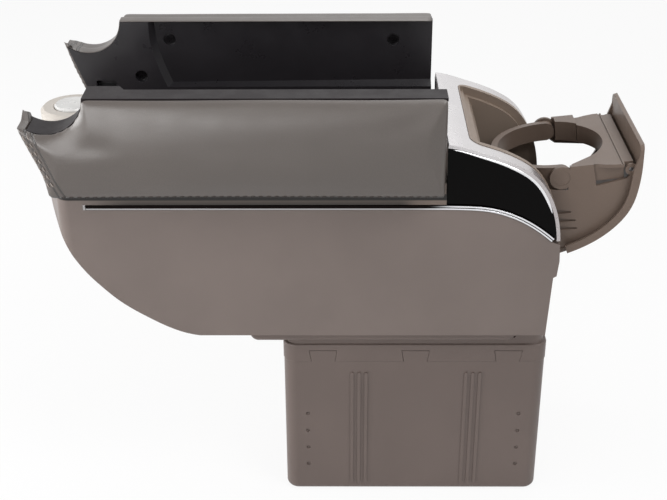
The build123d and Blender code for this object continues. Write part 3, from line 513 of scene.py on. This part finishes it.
# Surfaces of the rigid solids
def round_edges(solid, width):
    """Small roundings on the sharp edges, with even shading over the flat faces."""
    flat = solid.modifiers.new("flat", "DECIMATE")
    flat.decimate_type = "DISSOLVE"
    flat.angle_limit = FLAT
    rounding = solid.modifiers.new("round", "BEVEL")
    rounding.width = width
    rounding.segments = 2
    rounding.limit_method = "ANGLE"
    rounding.angle_limit = SHARP
    rounding.use_clamp_overlap = True
    even = solid.modifiers.new("even", "WEIGHTED_NORMAL")
    even.mode = "FACE_AREA"
    even.weight = 100


def dress_solids(looks):
    """Gives each rigid solid its look, and rounded or crisp edges."""
    for name, (look, round_mm) in FINISH.items():
        solid = nodes[name]
        solid.data.materials.clear()
        solid.data.materials.append(looks[look])
        weld = solid.modifiers.new("weld", "WELD")
        weld.merge_threshold = WELD
        if round_mm:
            round_edges(solid, round_mm * MM)
        else:
            facets = solid.modifiers.new("facets", "EDGE_SPLIT")
            facets.split_angle = SHARP
        solid.data.polygons.foreach_set("use_smooth", [True] * len(solid.data.polygons))
        solid.data.update()


# Padded lids; side is -1 for the near one and 1 for the far one
def lid_point(x, up, out, side):
    """A point of an open lid: along it, up from its hinge and out from its liner."""
    return Vector((x, side * (HINGE_Y + out), HINGE_Z + up))


def lid_out(point, side):
    """How far a point of an open lid lies out from its liner."""
    return side * point.y - HINGE_Y


def share_of(value, whole):
    """Share of a whole, from none to all of it."""
    return min(1.0, max(0.0, value / whole))


def edges(x, up):
    """Distances of a place on a lid from its free edge, hinge side, rear end, front and notch."""
    front = (x - LID_FRONT + LID_SLOPE * up) / LID_STEEP
    notch = math.hypot(x - BUTTON_X, up - BUTTON_UP) - NOTCH_RADIUS
    return LID_SPAN - up, up, LID_REAR - x, front, notch


def crowned(x, up):
    """Share of the crown at a place on a lid: none at its edges, all of it in the middle."""
    share = 1.0
    for distance, reach in zip(edges(x, up), CROWN_REACH):
        share = min(share, 1 - (1 - share_of(distance, reach)) ** 2)
    return share


def remeshed(name, node):
    """A cover with an even mesh, in the shape of a pad's solid."""
    pad = bpy.data.objects.new(name, nodes[node].data.copy())
    scene.collection.objects.link(pad)
    remesh = pad.modifiers.new("remesh", "REMESH")
    remesh.mode = "VOXEL"
    remesh.voxel_size = VOXEL
    graph = bpy.context.evaluated_depsgraph_get()
    mesh = bpy.data.meshes.new_from_object(pad.evaluated_get(graph))
    pad.modifiers.clear()
    pad.data = mesh
    mesh.name = name
    return pad


def crown_cover(work, side):
    """Softens the outer part of a cover, raises its crown and lets its hem hang down."""
    soft = [v for v in work.verts if lid_out(v.co, side) > SOFT_FROM]
    for _ in range(SOFT_ROUNDS):
        bmesh.ops.smooth_vert(work, verts=soft, factor=0.5, use_axis_x=True, use_axis_y=True, use_axis_z=True)
    for v in soft:
        share = min(1.0, (lid_out(v.co, side) - SOFT_FROM) / SOFT_RISE)
        v.co.y += side * CROWN * share * crowned(v.co.x, v.co.z - HINGE_Z)
        low = max(0.0, 1 - (v.co.z - HINGE_Z) / HEM_REACH)
        v.co.z -= HEM_DROP * share * low * low


def roll_front(work, side):
    """Rolls the front edge of a cover forward and pulls its foot over the liner."""
    for v in work.verts:
        up = v.co.z - HINGE_Z
        near_front = 1 - (v.co.x - LID_FRONT + LID_SLOPE * up) / FRONT_REACH
        if near_front > 0:
            pull = share_of(FOOT_TOP - lid_out(v.co, side), FOOT_FADE) * min(1.0, near_front * 2)
            v.co.x -= FRONT_ROLL * near_front * near_front
            v.co.y -= side * FOOT_PULL * pull
            v.co.z += TIP_RAISE * pull * max(0.0, (up - TIP_FROM) / TIP_REACH)


def roll_rim(work, side):
    """Rolls the rim of a cover out along its free edge and its notch."""
    for v in work.verts:
        rest = edges(v.co.x, v.co.z - HINGE_Z)
        free, notch = rest[0], abs(rest[4])
        if lid_out(v.co, side) > RIM_FROM:
            v.co.z += RIM_ROLL * max(0.0, 1 - free / RIM_REACH)
            ring = Vector((v.co.x - BUTTON_X, 0, v.co.z - HINGE_Z - BUTTON_UP))
            v.co -= ring.normalized() * RIM_ROLL * max(0.0, 1 - notch / RIM_REACH)
            v.co.y += RIM_SWELL * max(0.0, 1 - min(free, notch) / RIM_REACH)


def simulate(pad, held):
    """Lets a cover swell over its foam, held where it is pulled over the liner."""
    group = pad.vertex_groups.new(name="held")
    for index, weight in enumerate(held):
        group.add([index], weight, "REPLACE")
    cloth = pad.modifiers.new("cloth", "CLOTH")
    cloth.settings.quality = 6
    cloth.settings.mass = 0.3
    cloth.settings.tension_stiffness = 25
    cloth.settings.compression_stiffness = 25
    cloth.settings.shear_stiffness = 12
    cloth.settings.bending_stiffness = 2
    cloth.settings.use_pressure = True
    cloth.settings.uniform_pressure_force = 4
    cloth.settings.vertex_group_mass = "held"
    cloth.settings.effector_weights.gravity = 0
    cloth.collision_settings.use_collision = False
    for step in range(1, SWELL_STEPS + 1):
        scene.frame_set(step)
    shown = pad.evaluated_get(bpy.context.evaluated_depsgraph_get())
    points = [v.co.copy() for v in shown.data.vertices]
    pad.modifiers.remove(cloth)
    pad.vertex_groups.remove(group)
    scene.frame_set(1)
    return points


def evened(mesh, moves):
    """Moves of a cover, spread over their neighbours so that only the broad swelling stays."""
    near = [[] for _ in mesh.vertices]
    for edge in mesh.edges:
        a, b = edge.vertices
        near[a].append(b)
        near[b].append(a)
    for _ in range(SWELL_ROUNDS):
        spread = []
        for move, around in zip(moves, near):
            total = move + sum((moves[j] for j in around), Vector())
            spread.append(total / (1 + len(around)))
        moves = spread
    return moves


def swell(pad, side):
    """Swells a cover over its foam, by little and evenly."""
    mesh = pad.data
    before = [v.co.copy() for v in mesh.vertices]
    held = [share_of(HELD_BELOW - lid_out(point, side), HELD_FADE) for point in before]
    after = simulate(pad, held)
    moves = [end - start for start, end in zip(before, after)]
    moves = [m * min(1.0, SWELL_MOST / m.length) if m.length else m for m in moves]
    for vertex, start, move in zip(mesh.vertices, before, evened(mesh, moves)):
        vertex.co = start + move


def make_pad(name, node, body, side, leather):
    """The padded leather cushion of a lid, in place of the pad's solid."""
    pad = remeshed(name, node)
    mesh = pad.data
    work = bmesh.new()
    work.from_mesh(mesh)
    crown_cover(work, side)
    roll_front(work, side)
    if side < 0:
        roll_rim(work, side)
    work.to_mesh(mesh)
    work.free()
    swell(pad, side)
    mesh.materials.clear()
    mesh.materials.append(leather)
    mesh.polygons.foreach_set("use_smooth", [True] * len(mesh.polygons))
    mesh.update()
    finer = pad.modifiers.new("finer", "SUBSURF")
    finer.levels = finer.render_levels = 1
    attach(pad, body)
    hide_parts(node)
    return pad


# Drawn pieces
def turns(count):
    """Angles of the corners of a ring."""
    return [2 * math.pi * k / count for k in range(count)]


def loft(work, rings):
    """Skin over a row of rings, closed at both ends."""
    count = len(rings[0])
    for a, b in zip(rings, rings[1:]):
        for k in range(count):
            work.faces.new((a[k], a[(k + 1) % count], b[(k + 1) % count], b[k]))
    work.faces.new(rings[0][::-1])
    work.faces.new(rings[-1])


def finish_mesh(name, work, look, body):
    """Turns a drawn mesh into a piece that moves with its body."""
    bmesh.ops.recalc_face_normals(work, faces=work.faces)
    mesh = bpy.data.meshes.new(name)
    work.to_mesh(mesh)
    work.free()
    mesh.materials.append(look)
    mesh.polygons.foreach_set("use_smooth", [True] * len(mesh.polygons))
    piece = bpy.data.objects.new(name, mesh)
    scene.collection.objects.link(piece)
    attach(piece, body)


def draw_stitch(work, found, normal, along, length, lean):
    """One thread on the cover: a small bent capsule that leans across the seam."""
    ahead = (along - normal * along.dot(normal)).normalized()
    across = normal.cross(ahead)
    ahead = (ahead + across * lean).normalized()
    across = normal.cross(ahead)
    rings = []
    for j in range(STITCH_RINGS):
        s = -1 + j / (STITCH_RINGS // 2)
        radius = STITCH_RADIUS * max(0.25, math.sqrt(max(0.0, 1 - 0.85 * s * s)))
        middle = found + ahead * s * length / 2 + normal * STITCH_RADIUS * (0.55 - 0.75 * s * s)
        ring = []
        for a in turns(STITCH_SIDES):
            ring.append(work.verts.new(middle + (across * math.cos(a) + normal * math.sin(a)) * radius))
        rings.append(ring)
    loft(work, rings)


def make_stitches(name, pad, body, side, rows, look):
    """Rows of threads that lie on a cover; a row has its ends, its tilt, and its threads' length and lean."""
    surface = BVHTree.FromObject(pad, bpy.context.evaluated_depsgraph_get())
    work = bmesh.new()
    for start, end, tilt, length, lean in rows:
        towards = (Vector((0, side, 0)) + tilt).normalized()
        span = end - start
        along = span.normalized()
        count = int(span.length / STITCH_PITCH)
        for i in range(count):
            centre = start + along * (i + 0.5) * span.length / count
            found, normal, _, _ = surface.ray_cast(centre + towards * STITCH_SIGHT, -towards)
            if found is not None:
                draw_stitch(work, found, normal, along, length, lean)
    finish_mesh(name, work, look, body)


def flap_path():
    """Way along a lid's free edge from its rear, and around the notch to its front edge."""
    up = LID_SPAN + FLAP_LIFT
    radius = NOTCH_RADIUS - FLAP_LIFT
    corner = math.asin((up - BUTTON_UP) / radius)
    reach = LID_FRONT - BUTTON_X
    a = 1 + LID_SLOPE**2
    b = LID_SLOPE * reach + BUTTON_UP
    low = (b - math.sqrt(b * b - a * (reach**2 + BUTTON_UP**2 - radius**2))) / a
    tip = math.atan2(low - BUTTON_UP, reach - LID_SLOPE * low)
    path = [(LID_REAR - (FLAP_INSET + FLAP_STEP * i), up) for i in range(FLAP_STRAIGHT)]
    for i in range(FLAP_BEND):
        turn = corner + (tip - corner) * i / (FLAP_BEND - 1)
        path.append((BUTTON_X + radius * math.cos(turn), BUTTON_UP + radius * math.sin(turn)))
    return path


def make_flap(word, body, side, look):
    """Cover turned over the liner's free edge and notch, down to its face."""
    work = bmesh.new()
    rings = []
    path = flap_path()
    last = len(path) - 1
    for i, (x, up) in enumerate(path):
        before, after = path[max(i - 1, 0)], path[min(i + 1, last)]
        ahead = Vector((after[0] - before[0], 0, after[1] - before[1])).normalized()
        across = ahead.cross(Vector((0, side, 0)))
        ring = []
        for a in turns(FLAP_SIDES):
            wide = math.copysign(abs(math.sin(a)) ** 0.5, math.sin(a)) * FLAP_HALF_WIDTH
            middle = lid_point(x, up, FLAP_MIDDLE + wide, side)
            ring.append(work.verts.new(middle + across * math.cos(a) * FLAP_HALF_THICKNESS))
        rings.append(ring)
    loft(work, rings)
    finish_mesh("edge_flap_" + word, work, look, body)


def dress_lid(word, body, side, looks):
    """A lid's cushion with its seams, and the flap that shows on the far one."""
    leather = grained_leather("lid_leather_" + word, LEATHER).material
    pad = make_pad("cushion_" + word, "lid_pad_" + word, body, side, leather)
    rows = []
    for inset in SEAM_INSETS:
        low = lid_point(LID_FRONT - LID_SLOPE * SEAM_LOW, SEAM_LOW, SEAM_OUT, side)
        high = lid_point(LID_FRONT - LID_SLOPE * SEAM_HIGH, SEAM_HIGH, SEAM_OUT, side)
        inwards = FRONT_INWARD * inset
        rows.append((low + inwards, high + inwards, -FRONT_INWARD * 0.5, 3.6 * MM, 0.18))
    make_stitches("front_stitches_" + word, pad, body, side, rows, looks["thread"])
    low = lid_point(LID_FRONT + HEM_FRONT_INSET, HEM_ROW, SEAM_OUT, side)
    high = lid_point(LID_REAR - HEM_REAR_INSET, HEM_ROW, SEAM_OUT, side)
    hem = [(low, high, Vector((0, 0, -0.6)), 3.4 * MM, 0.2)]
    make_stitches("hem_stitches_" + word, pad, body, side, hem, looks["thread_dark"])
    if side > 0:
        make_flap(word, body, side, leather)


def fin_edge(surface, inner):
    """Points along a fin's upper edge, and down its rear end."""
    sights = []
    for i in range(BEAD_TOP_POINTS):
        sights.append(Vector((BEAD_FRONT + BEAD_STEP * i, inner, ABOVE_FIN)))
    found = [surface.ray_cast(sight, Vector((0, 0, -1)))[0] for sight in sights]
    edge = [point for point in found if point is not None]
    low = edge[-1].z
    sights = [Vector((BEHIND_FIN, inner, low - BEAD_DROP * i)) for i in range(1, BEAD_REAR_POINTS)]
    found = [surface.ray_cast(sight, Vector((-1, 0, 0)))[0] for sight in sights]
    return edge + [point for point in found if point is not None]


def make_bead(word, side, look):
    """Bright bead on the upper edge of a fin, thicker towards the rear."""
    fin = nodes["side_trim_" + word]
    surface = BVHTree.FromObject(fin, bpy.context.evaluated_depsgraph_get())
    out = max(abs(v.co.y) for v in fin.data.vertices)
    edge = fin_edge(surface, side * (out - BEAD_INSET))
    work = bmesh.new()
    rings = []
    last = len(edge) - 1
    for i, place in enumerate(edge):
        ahead = (edge[min(i + 1, last)] - edge[max(i - 1, 0)]).normalized()
        across = ahead.cross(Vector((0, side, 0))).normalized()
        s = i / last
        thick = BEAD_THIN + BEAD_SWELL * min(1.0, s / 0.55) * min(1.0, (1 - s) / 0.12)
        ring = []
        for a in turns(BEAD_SIDES):
            offset = across * math.cos(a) * thick + Vector((0, side, 0)) * math.sin(a) * thick * 0.8
            ring.append(work.verts.new(Vector((place.x, side * out, place.z)) + offset))
        rings.append(ring)
    loft(work, rings)
    finish_mesh("fin_bead_" + word, work, look, "box")


# Stage
def background_rays(tree):
    """One for the rays that see the white background: the camera's, and those off gloss or through glass."""
    path = tree.nodes.new("ShaderNodeLightPath")
    seen = path.outputs["Is Camera Ray"]
    for ray in ("Is Glossy Ray", "Is Transmission Ray"):
        either = tree.nodes.new("ShaderNodeMath")
        either.operation = "MAXIMUM"
        tree.links.new(seen, either.inputs[0])
        tree.links.new(path.outputs[ray], either.inputs[1])
        seen = either.outputs[0]
    return seen


def make_floor():
    """White floor that keeps a part of the object's shadow."""
    bpy.ops.mesh.primitive_plane_add(size=FLOOR_SIZE, location=(0, 0, -FLOOR_DROP))
    floor = bpy.context.object
    floor.name = "floor"
    t = Tree("floor_paint")
    t.set(Roughness=0.9, Specular_IOR_Level=0.1)
    t.feed("Base Color", t.mix(t.noise(3, 2), *FLOOR_GREYS))
    glow = t.nodes.new("ShaderNodeEmission")
    glow.inputs["Color"].default_value = (1, 1, 1, 1)
    blend = t.nodes.new("ShaderNodeMixShader")
    t.link(t.math("MULTIPLY", background_rays(t), FLOOR_GLOW), blend.inputs[0])
    t.link(t.shader.outputs[0], blend.inputs[1])
    t.link(glow.outputs[0], blend.inputs[2])
    t.link(blend.outputs[0], t.nodes["Material Output"].inputs["Surface"])
    floor.data.materials.append(t.material)


def make_world():
    """White background with a soft light from all around."""
    world = bpy.data.worlds.new("studio")
    world.use_nodes = True
    tree = world.node_tree
    back = tree.nodes["Background"]
    back.inputs["Color"].default_value = (1, 1, 1, 1)
    level = tree.nodes.new("ShaderNodeMapRange")
    level.inputs["To Min"].default_value = WORLD_LIGHT
    level.inputs["To Max"].default_value = 1.0
    tree.links.new(background_rays(tree), level.inputs["Value"])
    tree.links.new(level.outputs["Result"], back.inputs["Strength"])
    scene.world = world


def make_lamps():
    """Soft studio lamps around the object."""
    for name, (place, wide, high, power) in LAMPS.items():
        data = bpy.data.lights.new(name, "AREA")
        data.shape = "RECTANGLE"
        data.size = wide
        data.size_y = high
        data.energy = power
        lamp = bpy.data.objects.new(name, data)
        lamp.location = place
        lamp.visible_camera = False
        lamp.rotation_euler = (LAMP_AIM - Vector(place)).to_track_quat("-Z", "Y").to_euler()
        scene.collection.objects.link(lamp)


make_camera()
make_floor()
make_world()
make_lamps()
looks = make_materials()
dress_solids(looks)
dress_lid("near", "near_lid", -1, looks)
dress_lid("far", "far_lid", 1, looks)
make_bead("near", -1, looks["bead"])
make_bead("far", 1, looks["bead"])
